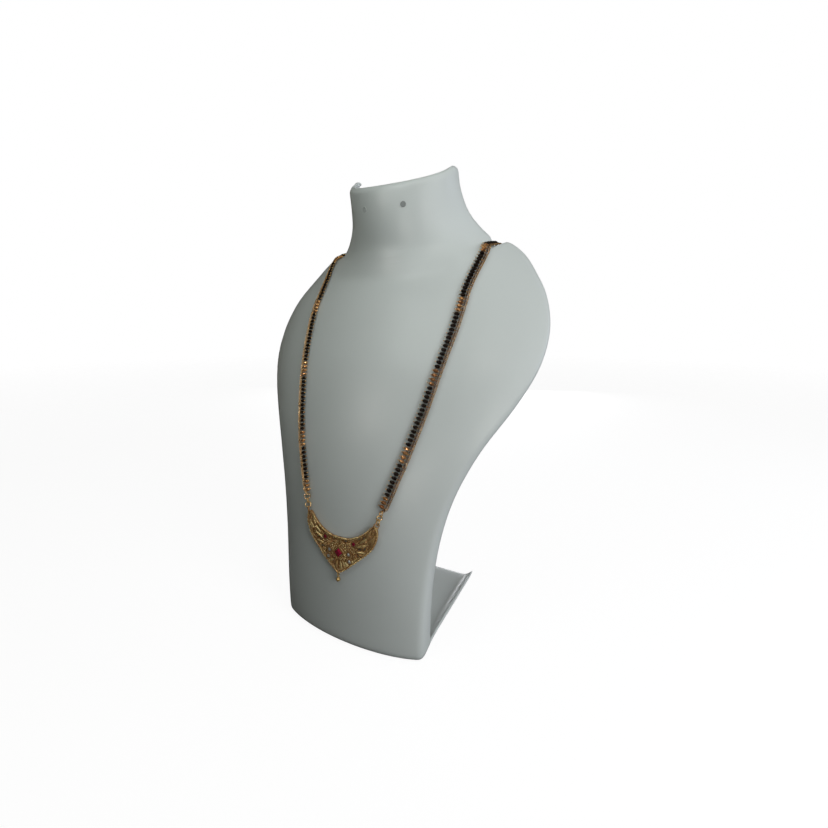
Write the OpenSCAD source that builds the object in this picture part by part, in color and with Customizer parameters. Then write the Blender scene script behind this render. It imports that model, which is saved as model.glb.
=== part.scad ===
/* [Neck bust] */
// Height of the neck bust, from the table to the corners of its neck
bust_h = 300; // [290:2:310]
// Thickness of the moulded sheet
wall = 2; // [1.6:0.1:2.2]
// Radius of the fold from the front sheet into the base plate
fold_r = 6; // [5:0.5:7]
// Radius that the neck's rim is rolled in by
rim_r = 4.5; // [3.5:0.5:5]
// Depth of the dip beside the neck that each strand hangs in
dip = 4.5; // [3.5:0.5:5]
// Height that the sides of the base plate are turned up by
side_h = 5.6; // [4.8:0.2:6.2]

/* [Chain] */
// Beads on each strand, from the pendant to the clasp
beads = 100; // [90:1:101]
// Diameter of a bead
bead_d = 2.2; // [2:0.1:2.3]
// Length of a bead along the pin that carries it
bead_l = 3.2; // [2.8:0.1:3.3]
// Diameter of the pin
pin_d = 0.5; // [0.4:0.05:0.55]
// Beads from one gold section to the next
period = 18; // [14:1:22]
// Gold beads in each gold section
gold_run = 4; // [3:1:6]
// Width of the double line of gold links that the pins stand on
band_w = 2.4; // [2:0.1:2.6]
// Thickness of the double line
band_t = 1.5; // [1.2:0.1:1.8]
// How far below the dips the hidden stretch sags behind the neck
sag = 37; // [34:1:40]

/* [Pendant] */
// Thickness of the pendant's pierced plate
plate_t = 0.9; // [0.7:0.1:1.1]
// Radius that the plate is bent to, to follow the chest
plate_r = 160; // [150:5:180]
// Height of the ruby's middle above the table
ruby_z = 66.5; // [65:0.5:68]
// Width and height of the square-cut ruby, from corner to corner
ruby_w = 5.8; // [5.4:0.2:6.2]
// Diameter of a round white stone
white_d = 2.2; // [1.8:0.1:2.4]
// Diameter of a small round ruby
side_ruby_d = 2.4; // [2:0.1:2.6]
// Diameter of the gold drop below the pendant
drop_d = 2.8; // [2.6:0.1:3.2]
// Wire of the jump rings
ring_wire = 0.7; // [0.6:0.05:0.75]
// Outside diameter of the jump rings
ring_d = 4.2; // [4.2:0.1:4.5]

/* [Hidden] */

gold = "#b8892f";
black = "#151214";
crimson = "#8e1030";
clear = "#e9e6e0";
white_plastic = "#b6bebb";

// The sheet is described for a bust 300 mm high and scaled to the chosen height.
k = bust_h / 300;
// Sections of the front sheet from the foot to the neck. Columns: height of the middle, height of
// the edges, half width, how far back the edges lie, how far the middle bulges in front of them,
// half angle of the arc, depth of the turned-back edge, corner before it.
SECTIONS = [
  [  6.0,   6, 49.5, -49.5,  8.0, 50, 13, 6.0],
  [ 30.0,  30, 50.0, -48.5,  8.0, 50, 11, 6.0],
  [ 65.0,  65, 52.0, -44.5, 10.0, 50,  9, 6.0],
  [100.0, 100, 58.5, -37.5, 12.5, 50,  8, 6.0],
  [130.0, 130, 71.0, -26.5, 16.0, 52,  7, 6.0],
  [155.0, 155, 87.0, -11.0, 23.0, 55,  7, 5.0],
  [178.0, 178, 98.5,   4.0, 29.0, 58,  5, 4.0],
  [197.0, 200,101.5,  17.5, 33.0, 60,  4, 3.5],
  [212.0, 220, 96.5,  28.5, 36.5, 62,  4, 3.5],
  [222.5, 235, 87.5,  37.5, 39.5, 65,  5, 3.5],
  [231.5, 247, 78.5,  44.0, 40.5, 68,  4.5, 3.5],
  [239.0, 255, 68.5,  46.0, 41.0, 70,  4, 3.0],
  [246.0, 259, 57.5,  45.0, 39.5, 74,  4, 3.0],
  [253.5, 265, 50.0,  42.0, 36.5, 78,  5, 3.0],
  [263.0, 275, 42.5,  36.5, 33.0, 82,  4, 3.0],
  [274.5, 287, 39.0,  30.5, 29.0, 85,  4, 3.0],
  [284.0, 296, 38.5,  27.0, 26.0, 85,  4, 3.0]];
top = len(SECTIONS) - 1;
// Sets the sheet back so far that the origin lies under the middle of the whole.
middle = 1.5;
// Rows of the base plate from its back edge to the fold. Columns: how far back the flat's edges lie,
// its half width, bulge of its middle, width of the turned-up side, how far that leans back, and
// its share of the full height.
BASE = [
  [ 50.6, 43.2,  0.0, 9.6, 3.0, 1.00],
  [ 30.0, 43.2,  0.0, 9.6, 0.0, 1.00],
  [  5.0, 44.0,  1.5, 8.8, 0.0, 0.95],
  [-14.0, 45.6,  4.5, 7.0, 1.5, 0.90],
  [-27.0, 47.6,  6.5, 4.8, 5.0, 0.82]];
// Angle that the sides are turned up to.
curl = 58;
// The dip lies at this place between the sections, and takes up this much on either side of it.
dip_row = 11.75;
dip_reach = 0.42;
ACROSS = 8;
// Rows lie a half section apart at the foot, a sixth at the dip and a third elsewhere.
ROWS = concat(
  [for (i = [0 : 7]) i / 2],
  [for (i = [12 : 32]) i / 3],
  [for (i = [66 : 75]) i / 6],
  [for (i = [38 : 3 * top]) i / 3]);

// A smooth curve through four neighbouring rows.
function blend(a, b, c, d, f) =
  b + f / 2 * (c - a + f * (2 * a - 5 * b + 4 * c - d + f * (3 * b - a - 3 * c + d)));
function between(rows, q) =
  let (n = len(rows) - 1, i = min(floor(q), n - 1), f = q - i)
  blend(rows[max(i - 1, 0)], rows[i], rows[i + 1], rows[min(i + 2, n)], f);
function unit(v) = v / max(norm(v), 1e-6);
function sq(x) = x * x;
function mirrored(p) = [-p[0], p[1], p[2]];
function reversed(list) = [for (i = [len(list) - 1 : -1 : 0]) list[i]];

// A point of the front sheet: q counts the sections, t runs from the left edge, -1, to the right, 1.
function front(q, t) =
  let (s = between(SECTIONS, q), a = t * s[5])
  k * [s[2] * sin(a) / sin(s[5]),
       s[3] - s[4] * (cos(a) - cos(s[5])) / (1 - cos(s[5])) + middle / k,
       s[0] + (s[1] - s[0]) * t * t - dip * exp(-pow((q - dip_row) / dip_reach, 4)) * pow(abs(t), 8)];
// Where the sheet faces there, outwards.
function facing(q, t, e = 0.02) =
  unit(cross(front(q, min(t + e, 1)) - front(q, t - e),
             front(min(q + e, top), t) - front(q - e, t)));

// The rounded corner and the turned edge that follow the last point of a row on the right.
function turned(last, along, back, r) =
  let (d = unit(along), b = unit(back), c = last + r * d)
  concat([for (f = [1 / 3, 2 / 3, 1]) last + r * d * (2 * f - f * f) + r * b * f * f],
         [c + back]);
function row(points, back, r) =
  let (n = len(points), side = turned(points[n - 1], points[n - 1] - points[n - 2], back, r))
  concat(reversed([for (p = side) mirrored(p)]), points, side);
STEPS = [for (i = [-ACROSS : ACROSS]) i / ACROSS];

function front_row(q) =
  let (s = between(SECTIONS, q))
  row([for (t = STEPS) front(q, t)], [0, k * s[6], 0], k * s[7] * 0.8);
// The fold carries the lowest row back and down in a quarter circle, and its side fans out.
function fold_row(a) =
  row([for (t = STEPS) front(0, t) + [0, fold_r * (1 - cos(a)), fold_r * (1 - sin(a)) - 6 * k]],
      [0, 12.5 * k - 1.5 * sin(a), 1 + 3 * sin(a)], k * 4.8 - 1.8 * sin(a));
function base_row(b) =
  let (flat = [for (t = STEPS)
         k * [b[1] * sin(50 * t) / sin(50),
              b[0] - b[2] * (cos(50 * t) - cos(50)) / (1 - cos(50)) + middle / k, 0]],
       side = [for (f = [0.25 : 0.25 : 1])
         flat[len(flat) - 1] + k * [b[3] * sin(curl * f) / sin(curl), b[4] * sq(f), 0]
         + [0, 0, side_h * b[5] * (1 - cos(curl * f)) / (1 - cos(curl))]])
  concat(reversed([for (p = side) mirrored(p)]), flat, side);
// The rim rolls inwards over the neck's last section.
function roll_row(a) =
  row([for (t = STEPS)
        front(top, t) - rim_r * (1 - cos(a)) * unit([facing(top, t)[0], facing(top, t)[1], 0])
        + [0, 0, rim_r * sin(a)]],
      [0, k * 4, 0], k * 2.4);

sheet_rows = concat(
  [for (b = BASE) base_row(b)],
  [for (a = [90 : -22.5 : 22.5]) fold_row(a)],
  [for (q = ROWS) front_row(q)],
  [for (a = [25 : 25 : 75]) roll_row(a)]);

// The face direction of a grid of points at one of them, from its neighbours.
function grid_face(g, i, j) =
  let (n = len(g) - 1, m = len(g[0]) - 1)
  unit(cross(g[i][min(j + 1, m)] - g[i][max(j - 1, 0)], g[min(i + 1, n)][j] - g[max(i - 1, 0)][j]));
// A closed sheet of the given thickness behind a grid of points.
module sheet(g, t) {
  n = len(g);
  m = len(g[0]);
  back = [for (i = [0 : n - 1]) for (j = [0 : m - 1]) g[i][j] - t * grid_face(g, i, j)];
  size = n * m;
  polyhedron(
    points = concat([for (r = g) for (p = r) p], back),
    faces = concat(
      [for (i = [0 : n - 2]) for (j = [0 : m - 2])
        for (f = [[0, m, m + 1], [0, m + 1, 1]]) [for (v = f) i * m + j + v]],
      [for (i = [0 : n - 2]) for (j = [0 : m - 2])
        for (f = [[0, m + 1, m], [0, 1, m + 1]]) [for (v = f) size + i * m + j + v]],
      [for (i = [0 : n - 2]) for (j = [0, m - 1])
        let (a = i * m + j, b = a + m)
        for (f = j == 0 ? [[a, size + b, b], [a, size + a, size + b]]
                        : [[a, b, size + b], [a, size + b, size + a]]) f],
      [for (j = [0 : m - 2]) for (i = [0, n - 1])
        let (a = i * m + j, b = a + 1)
        for (f = i == 0 ? [[a, b, size + b], [a, size + b, size + a]]
                        : [[a, size + b, b], [a, size + a, size + b]]) f]));
}

module neck_bust() {
  color(white_plastic) sheet(sheet_rows, wall);
}

// The pendant stands in a frame of its own at the ruby's middle, leaning back with the chest.
lean = 4.8;
pendant_gap = 0.25;
pendant_y = front(2, 0)[1] - pendant_gap;
module on_chest() {
  translate([0, pendant_y, ruby_z]) rotate([-lean, 0, 0]) children();
}
// How far back the bent plate lies at a distance from its middle.
function bend(x) = plate_r - sqrt(plate_r * plate_r - x * x);
// A place on the plate, at a height over its back: in the frame of the whole.
function on_plate(x, z, h) =
  let (y = bend(x) - h)
  [x, pendant_y + y * cos(lean) + z * sin(lean), ruby_z - y * sin(lean) + z * cos(lean)];
// Stands what follows on the plate's back there, facing out.
module at_plate(x, z) {
  translate([x, bend(x), z]) rotate([90, 0, asin(x / plate_r)]) children();
}
module torus(r, wire, sides = 48) {
  rotate_extrude($fn = sides) translate([r, 0]) circle(d = wire, $fn = 24);
}

// Rings follow each other along the line from the pendant's tip to the strand, each turned a
// quarter from the last, and half that from the chest, so that none of them touches it.
ring_r = (ring_d - ring_wire) / 2;
ring_step = 2 * ring_r - ring_wire - 0.2;
TIP = [25.5, 22.2, 1.3];
tip_loop = on_plate(TIP[0], TIP[1], TIP[2]);
strand_foot = front(3, 0.44) + 1.8 * facing(3, 0.44);
up_line = unit(strand_foot - tip_loop);
function ring_place(i) = tip_loop + i * ring_step * up_line;
// Turns the axes to a line, X outwards, and to the side that faces away from the chest, Z.
module aligned(place, line, face) {
  n = unit(face - (face * line) * line);
  b = cross(line, n);
  multmatrix([
    [b[0], line[0], n[0], place[0]],
    [b[1], line[1], n[1], place[1]],
    [b[2], line[2], n[2], place[2]]]) children();
}
module jump_ring(i) {
  aligned(ring_place(i), up_line, facing(3, 0.44))
    rotate([0, i % 2 == 0 ? 45 : -45, 0]) torus(ring_r, ring_wire);
}

module pendant_ring(side) {
  color(gold) mirror([side < 0 ? 1 : 0, 0, 0]) jump_ring(1);
}
module strand_ring(side) {
  color(gold) mirror([side < 0 ? 1 : 0, 0, 0]) jump_ring(2);
}

// The right strand's way up the front sheet. Columns: section, place across the sheet.
ROUTE = [[3.3, 0.47], [4, 0.49], [5, 0.458], [6, 0.437], [7, 0.451],
         [8, 0.488], [9, 0.54], [10.1, 0.636], [11.1, 0.785], [11.65, 0.9]];
// Its way over the edge in the dip, from the edge's last point. Columns: place, facing.
OVER = [
  [ 0.2, -5.0,  2.4,  0.25, -0.2, 1],
  [ 0.2, -2.4,  2.4,  0.25,  0.0, 1],
  [ 0.1,  0.3,  1.9,  0.2,  0.5, 1],
  [ 0.0,  1.8,  0.4,  0.0,  1.0, 0.6],
  [-0.7,  2.3, -1.1,  0.0,  1.0, 0]];
// Height of the strand's middle line over the sheet.
lift = 1.5;
dip_end = let (r = front_row(dip_row)) r[len(r) - 1];
// Where the strand ends, beside the middle of the clasp.
clasp_x = 8.2;
function on_sheet(r) =
  let (n = facing(r[0], r[1], 0.1), p = front(r[0], r[1]) + lift * n)
  [p[0], p[1], p[2], n[0], n[1], n[2]];
// Behind the neck the strand hangs in a parabola across the back.
last_over = len(OVER) - 1;
back = dip_end + [OVER[last_over][0], OVER[last_over][1], OVER[last_over][2]];
hung = 12;
function hanging(x) =
  [x, back[1], back[2] - sag * (1 - sq(x / back[0])) / (1 - sq(clasp_x / back[0])), 0, 1, 0];
CONTROL = concat(
  [concat(ring_place(3), facing(3, 0.44))],
  [for (i = [0 : 0.25 : len(ROUTE) - 1]) on_sheet(between(ROUTE, i))],
  [for (o = OVER) [dip_end[0] + o[0], dip_end[1] + o[1], dip_end[2] + o[2], o[3], o[4], o[5]]],
  [for (i = [1 : hung]) hanging(back[0] + (clasp_x - back[0]) * i / hung)]);
// The path has this many places for each of those.
fine = 5;
PATH = [for (i = [0 : fine * (len(CONTROL) - 1)]) between(CONTROL, i / fine)];
function place_of(r) = [r[0], r[1], r[2]];
function face_of(r) = [r[3], r[4], r[5]];
function gap_before(i) = i == 0 ? 0 : norm(place_of(PATH[i]) - place_of(PATH[i - 1]));
LENGTHS = [for (i = 0, s = 0; i < len(PATH); i = i + 1, s = s + (i < len(PATH) ? gap_before(i) : 0)) s];
strand = LENGTHS[len(PATH) - 1];
COLUMNS = [for (c = [0 : 5]) [for (i = [0 : len(PATH) - 1]) [LENGTHS[i], PATH[i][c]]]];
function at(s) = [for (c = COLUMNS) lookup(s, c)];
function heading(s) = unit(place_of(at(s + 0.4)) - place_of(at(s - 0.4)));
module along(s) {
  aligned(place_of(at(s)), heading(s), face_of(at(s))) children();
}

// A bead is a barrel, drilled from end to end for its pin.
bore_d = pin_d + 0.3;
// Length of the strand before its first pin.
lead = 4.2;
step = (strand - 2 * lead) / (beads - 1);
// How far the beads lie to the inner side of the strand's middle line, and the links to the outer.
bead_in = 1.25;
band_out = 1.8;
first_gold = 11;
function is_gold(i) =
  i < 3 || i > beads - 4 || (i >= first_gold && (i - first_gold) % period < gold_run);
module bead() {
  rotate([0, 90, 0]) rotate_extrude($fn = 24)
    polygon(concat(
      [[bore_d / 2, -bead_l / 2]],
      [for (a = [-60 : 30 : 60]) [bead_d / 2 * cos(a), bead_l / 2 * sin(a) / sin(60)]],
      [[bore_d / 2, bead_l / 2]]));
}
module row_of_beads(golden) {
  for (i = [0 : beads - 1]) if (is_gold(i) == golden)
    along(lead + i * step) translate([-bead_in, 0, 0]) bead();
}

// The double line of links is one tube beside the beads, drawn in to the end loops.
SIDES = 10;
// Length of the strand up to the edge that it turns over, and that of half the turn.
turn = LENGTHS[fine * (len(CONTROL) - hung - 3)];
half_turn = 7;
// The tube starts this far from the strand's end, and is drawn in over the length that follows.
foot = 1.5;
ramp = 1.4;
// Evenly spaced lengths from one end to the other, without the other.
function stretch(from, to, n) = [for (i = [0 : n - 1]) from + (to - from) * i / n];
STATIONS = concat(
  stretch(foot, foot + ramp, 3),
  stretch(foot + ramp, turn - half_turn, 20),
  stretch(turn - half_turn, turn + half_turn, 11),
  stretch(turn + half_turn, strand - foot - ramp, 7),
  stretch(strand - foot - ramp, strand - foot, 3),
  [strand - foot]);
function from_end(s) = min(s, strand - s);
function drawn_in(s) = min(max((from_end(s) - foot) / ramp, 0), 1);
function band_ring(s) =
  let (r = at(s), line = heading(s), f = face_of(r), n = unit(f - (f * line) * line),
       b = cross(line, n), d = drawn_in(s), w = band_w / 2 * (0.5 + 0.5 * d))
  [for (j = [0 : SIDES - 1]) let (a = 360 * j / SIDES)
    place_of(r) + (band_out * d + w * cos(a)) * b + band_t / 2 * sin(a) * n];
module band() {
  rings = [for (s = STATIONS) band_ring(s)];
  n = len(rings);
  polyhedron(
    points = [for (r = rings) for (p = r) p],
    faces = concat(
      [[for (j = [SIDES - 1 : -1 : 0]) j]],
      [[for (j = [0 : SIDES - 1]) (n - 1) * SIDES + j]],
      [for (i = [0 : n - 2]) for (j = [0 : SIDES - 1])
        let (a = i * SIDES + j, b = i * SIDES + (j + 1) % SIDES)
        for (f = [[a, b + SIDES, a + SIDES], [a, b, b + SIDES]]) f]));
}
// A pin runs from the line of links through its bead, as far as a short tip beyond it.
tip = 0.35;
module pin() {
  from = -bead_in - bead_l / 2 - tip;
  translate([from, 0, 0]) rotate([0, 90, 0])
    cylinder(d = pin_d, h = band_out - band_w / 4 - from + 0.2, $fn = 5);
}
module end_loop(s, turned_by) {
  along(s) rotate([0, turned_by, 0])
    rotate_extrude($fn = 12) translate([ring_r, 0]) circle(d = ring_wire, $fn = 6);
}
module gold_chain() {
  color(gold) union() {
    band();
    for (i = [0 : beads - 1]) along(lead + i * step) pin();
    end_loop(0, -45);
    end_loop(strand, 90);
  }
}
module black_beads() {
  color(black) row_of_beads(false);
}
module gold_beads() {
  color(gold) row_of_beads(true);
}
// The hidden clasp is one plain barrel with a loop at each end.
module clasp() {
  color(gold) translate([0, back[1], place_of(at(strand))[2]]) {
    rotate([0, 90, 0]) cylinder(d = 3.2, h = 2 * (clasp_x - ring_step - ring_r), center = true, $fn = 32);
    for (side = [-1, 1])
      translate([side * (clasp_x - ring_step), 0, 0]) rotate([90, 0, 0]) torus(ring_r, ring_wire);
  }
}

// The pendant's edge on the right, from the middle of its upper side round its tip to its foot.
EDGE = [
  [ 0.0,  9.9], [ 4.5, 10.0], [ 8.6, 10.9], [13.0, 12.8], [16.8, 15.2], [19.7, 17.9], [21.8, 20.4],
  [23.8, 21.6], [25.4, 20.3], [26.2, 16.8], [25.6, 12.4], [23.4,  7.2], [19.6,  2.8], [15.4, -1.0],
  [11.6, -4.6], [ 8.6, -7.2], [ 6.1, -9.6], [ 3.6, -11.5], [ 1.4, -12.8], [ 0.0, -13.2]];
EDGE_CURVE = [for (i = [0 : 0.5 : len(EDGE) - 1]) between(EDGE, i)];
module edge_shape() {
  polygon(concat(
    EDGE_CURVE,
    [for (i = [len(EDGE_CURVE) - 2 : -1 : 1]) [-EDGE_CURVE[i][0], EDGE_CURVE[i][1]]]));
}
// A flat shape cut out of bent metal, between two heights over the plate's back.
below = 30;
above = 40;
deep = 8;
module bent(low, high) {
  intersection() {
    rotate([90, 0, 0]) translate([0, 0, -deep]) linear_extrude(2.5 * deep) children();
    translate([0, plate_r, -below]) difference() {
      cylinder(r = plate_r + high, h = below + above, $fn = 180);
      translate([0, 0, -1]) cylinder(r = plate_r + low, h = below + above + 2, $fn = 180);
    }
  }
}
// A pointed leaf, flat, from its foot at the origin.
module leaf(l, w) {
  polygon(concat(
    [for (f = [0 : 0.2 : 1]) [l * f, w / 2 * sin(180 * f)]],
    [for (f = [0.8 : -0.2 : 0.2]) [l * f, -w / 2 * sin(180 * f)]]));
}
// Leaf-shaped gaps between the motifs. Columns: place, length, width, direction.
GAPS = [
  [ 3.2,  7.6, 2.8, 1.0,  20], [12.9, 10.6, 2.6, 1.0,  40], [16.2, 11.2, 3.0, 1.1,  50],
  [20.0, 15.4, 2.8, 1.0,  58], [22.6, 17.8, 2.4, 1.0,  66], [23.4, 12.6, 2.8, 1.1,  76],
  [13.2,  4.4, 3.2, 1.2,  20], [16.8,  4.6, 3.0, 1.2,  48], [20.4,  7.6, 2.8, 1.1,  60],
  [12.0,  1.2, 3.0, 1.1, -20], [ 3.6, -5.4, 2.8, 1.0, -40], [ 2.0, -8.2, 2.6, 1.0, -60],
  [ 9.9, -2.6, 2.0, 0.8, -35], [ 4.6,  3.4, 1.6, 0.8,  80]];
// Raised ribs. Columns: place, length, width, direction.
RIBS = [
  [ 1.2, -6.0, 5.2, 0.7, -78], [ 2.6, -5.2, 6.2, 0.7, -58], [ 4.6, -5.6, 5.0, 0.7, -44],
  [ 9.4, -3.6, 4.0, 0.7, -52], [10.8, -2.6, 4.4, 0.7, -34], [12.4,  3.0, 5.4, 0.7,   4],
  [13.0,  6.2, 6.4, 0.7,  22], [14.6,  9.0, 6.0, 0.7,  40], [19.0, 13.0, 6.0, 0.7,  62],
  [22.2,  9.4, 6.0, 0.7,  72], [20.2, 10.6, 5.0, 0.7,  40]];
// Round bosses. Columns: place, diameter.
BOSSES = [
  [11.6, -0.7, 1.8], [18.8, 10.6, 1.9], [21.2, 14.6, 1.9], [23.5, 18.7, 1.8], [15.0,  1.8, 1.6],
  [16.6,  7.6, 1.6], [ 2.4,  6.6, 1.4], [ 4.6, -9.2, 1.4], [ 1.5, -10.9, 1.4], [19.0,  4.9, 1.5]];
RINGED = [6.9, 4.9];
SIDE_RUBY = [10.6, 7.7];
WHITES = [[7.1, 0.1], [7.9, -4.4]];
slack = 0.1;
module both_sides() {
  children();
  mirror([1, 0, 0]) children();
}
// A collar round a stone's seat, with four claws beside the stone.
module collar(d) {
  cylinder(d = d + 1.2, h = plate_t + 0.5, $fn = 32);
  for (a = [45 : 90 : 315])
    rotate(a) translate([d / 2 + 0.45, 0, 0]) cylinder(d = 0.5, h = plate_t + 0.9, $fn = 16);
}
module seat(d) {
  translate([0, 0, -1]) cylinder(d = d + 2 * slack, h = 4, $fn = 32);
}
rim_w = 0.8;
rim_h = 0.5;
module plate_relief() {
  bent(0, plate_t) edge_shape();
  bent(0, plate_t + rim_h) difference() {
    edge_shape();
    offset(delta = -rim_w) edge_shape();
  }
  bent(0, plate_t + 0.35) intersection() {
    edge_shape();
    both_sides() for (r = RIBS)
      translate([r[0], r[1]]) rotate(r[4]) translate([0, -r[3] / 2]) square([r[2], r[3]]);
  }
  both_sides() {
    for (b = BOSSES) at_plate(b[0], b[1]) translate([0, 0, plate_t]) sphere(d = b[2], $fn = 24);
    at_plate(SIDE_RUBY[0], SIDE_RUBY[1]) collar(side_ruby_d);
    for (w = WHITES) at_plate(w[0], w[1]) collar(white_d);
    at_plate(RINGED[0], RINGED[1]) {
      translate([0, 0, plate_t]) torus(1.5, 0.7);
      translate([0, 0, plate_t]) sphere(d = 1.5, $fn = 24);
    }
  }
  at_plate(0, 0) {
    cylinder(d = ruby_w + 2, h = plate_t + 0.7, $fn = 4);
    for (a = [0 : 90 : 270])
      rotate(a) translate([ruby_w / 2 + 0.7, 0, 0]) cylinder(d = 0.9, h = plate_t + 1.2, $fn = 16);
  }
}
module pendant_plate() {
  color(gold) {
    on_chest() {
      difference() {
        plate_relief();
        bent(-1, plate_t + 0.2) both_sides()
          for (g = GAPS) translate([g[0], g[1]]) rotate(g[4]) leaf(g[2], g[3]);
        both_sides() {
          at_plate(SIDE_RUBY[0], SIDE_RUBY[1]) seat(side_ruby_d);
          for (w = WHITES) at_plate(w[0], w[1]) seat(white_d);
        }
        at_plate(0, 0) translate([0, 0, -1]) cylinder(d = ruby_w + 4 * slack, h = 4, $fn = 4);
      }
      at_plate(0, -12.2) cylinder(d = 1.8, h = 1.8, $fn = 24);
      at_plate(0, DROP_LOOP) translate([0, 0, loop_h]) torus(loop_r, loop_wire);
    }
    jump_ring(0);
    mirror([1, 0, 0]) jump_ring(0);
  }
}

// The drop's ring runs through a loop at the plate's foot and one on the drop.
loop_r = 0.8;
loop_wire = 0.5;
drop_ring_r = 1;
loop_h = 1.35;
drop_step = loop_r + drop_ring_r - loop_wire - slack;
DROP_LOOP = -13.4;
module drop_ring() {
  color(gold) on_chest() at_plate(0, DROP_LOOP - drop_step) translate([0, 0, loop_h])
    rotate([0, 90, 0]) torus(drop_ring_r, loop_wire);
}
module drop_bead() {
  color(gold) on_chest() at_plate(0, DROP_LOOP - 2 * drop_step) translate([0, 0, loop_h]) {
    torus(loop_r, loop_wire);
    translate([0, -loop_r - drop_d / 2 + 0.1, 0]) sphere(d = drop_d, $fn = 48);
  }
}

// A round stone: eight facets below, eight above, and a table.
module round_stone(d) {
  girdle = plate_t + 0.2;
  translate([0, 0, girdle - 0.8]) cylinder(d1 = 0.3 * d, d2 = d, h = 0.8, $fn = 8);
  translate([0, 0, girdle]) cylinder(d = d, h = 0.15, $fn = 8);
  translate([0, 0, girdle + 0.15]) cylinder(d1 = d, d2 = 0.6 * d, h = 0.4, $fn = 8);
}
// The square stone has two rows of four facets above its edge, four below, and a table.
module square_stone(w) {
  girdle = plate_t + 0.5;
  translate([0, 0, girdle - 1.2]) cylinder(d1 = 0.35 * w, d2 = w, h = 1.2, $fn = 4);
  translate([0, 0, girdle]) cylinder(d = w, h = 0.2, $fn = 4);
  translate([0, 0, girdle + 0.2]) cylinder(d1 = w, d2 = 0.8 * w, h = 0.5, $fn = 4);
  translate([0, 0, girdle + 0.7]) cylinder(d1 = 0.8 * w, d2 = 0.56 * w, h = 0.4, $fn = 4);
}
module ruby_stone() {
  color(crimson) on_chest() at_plate(0, 0) square_stone(ruby_w);
}
module side_ruby(side) {
  color(crimson) on_chest() at_plate(side * SIDE_RUBY[0], SIDE_RUBY[1]) round_stone(side_ruby_d);
}
module white_stone(side, w) {
  color(clear) on_chest() at_plate(side * w[0], w[1]) round_stone(white_d);
}

neck_bust();
pendant_plate();
ruby_stone();
side_ruby(-1);  // side_ruby_left
side_ruby(1);  // side_ruby_right
white_stone(-1, WHITES[0]);  // white_stone_upper_left
white_stone(1, WHITES[0]);  // white_stone_upper_right
white_stone(-1, WHITES[1]);  // white_stone_lower_left
white_stone(1, WHITES[1]);  // white_stone_lower_right
drop_ring();
drop_bead();
pendant_ring(-1);  // pendant_ring_left
pendant_ring(1);  // pendant_ring_right
strand_ring(-1);  // strand_ring_left
strand_ring(1);  // strand_ring_right
mirror([1, 0, 0]) gold_chain();  // gold_chain_left
gold_chain();  // gold_chain_right
mirror([1, 0, 0]) black_beads();  // black_beads_left
black_beads();  // black_beads_right
mirror([1, 0, 0]) gold_beads();  // gold_beads_left
gold_beads();  // gold_beads_right
clasp();
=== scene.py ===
"""A mangalsutra of black and gold beads on a plain moulded neck bust.

The pieces take their places from the solids in the frame, and the ornament on the pendant from
the measures of its plate. Left and right are as seen from the front, so right is +X.
"""

import math
import random

import bpy
import numpy as np
from bpy.props import FloatProperty, FloatVectorProperty, IntProperty, PointerProperty
from mathutils import Matrix, Vector


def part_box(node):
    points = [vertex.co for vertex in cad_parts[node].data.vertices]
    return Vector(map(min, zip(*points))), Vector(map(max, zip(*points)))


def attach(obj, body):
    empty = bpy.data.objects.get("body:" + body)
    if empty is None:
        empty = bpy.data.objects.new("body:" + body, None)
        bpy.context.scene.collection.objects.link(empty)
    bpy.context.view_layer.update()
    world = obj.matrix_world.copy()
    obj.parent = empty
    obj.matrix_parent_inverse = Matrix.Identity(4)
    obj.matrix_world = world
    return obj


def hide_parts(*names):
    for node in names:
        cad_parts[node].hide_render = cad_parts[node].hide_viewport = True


bl_info = {
    "name": "Mangalsutra on a Neck Bust",
    "version": (1, 0, 0),
    "blender": (4, 5, 0),
    "location": "3D View > Sidebar > Mangalsutra",
    "description": "Dresses a gold and black-bead necklace and the neck bust that it hangs on",
    "category": "Add Mesh",
}

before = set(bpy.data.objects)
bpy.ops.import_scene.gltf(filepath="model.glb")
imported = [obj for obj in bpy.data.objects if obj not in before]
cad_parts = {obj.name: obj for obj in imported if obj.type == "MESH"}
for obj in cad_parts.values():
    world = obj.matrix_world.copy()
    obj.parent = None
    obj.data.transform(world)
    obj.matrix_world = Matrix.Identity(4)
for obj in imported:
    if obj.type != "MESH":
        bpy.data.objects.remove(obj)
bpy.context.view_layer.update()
MM = 0.001
SIDES = ("left", "right")
# Corners of a solid that lie closer than this are one.
WELD = 0.002 * MM


# Sizes and colours


class BustLook(bpy.types.PropertyGroup):
    """The moulded sheet of the bust"""

    colour: FloatVectorProperty(
        name="Plastic", description="Colour of the moulded sheet", subtype="COLOR",
        default=(0.62, 0.66, 0.64), min=0, max=1)
    roughness: FloatProperty(
        name="Roughness", description="How matt the sheet is", subtype="FACTOR",
        default=0.36, min=0, max=1)
    smoothing: IntProperty(
        name="Smoothing", description="Times the sheet is subdivided", default=2, min=0, max=3)
    mark_radius: FloatProperty(
        name="Mark", description="Radius of the two round marks on the neck", unit="LENGTH",
        default=1.7 * MM, min=0.5 * MM, max=4 * MM)


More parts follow.
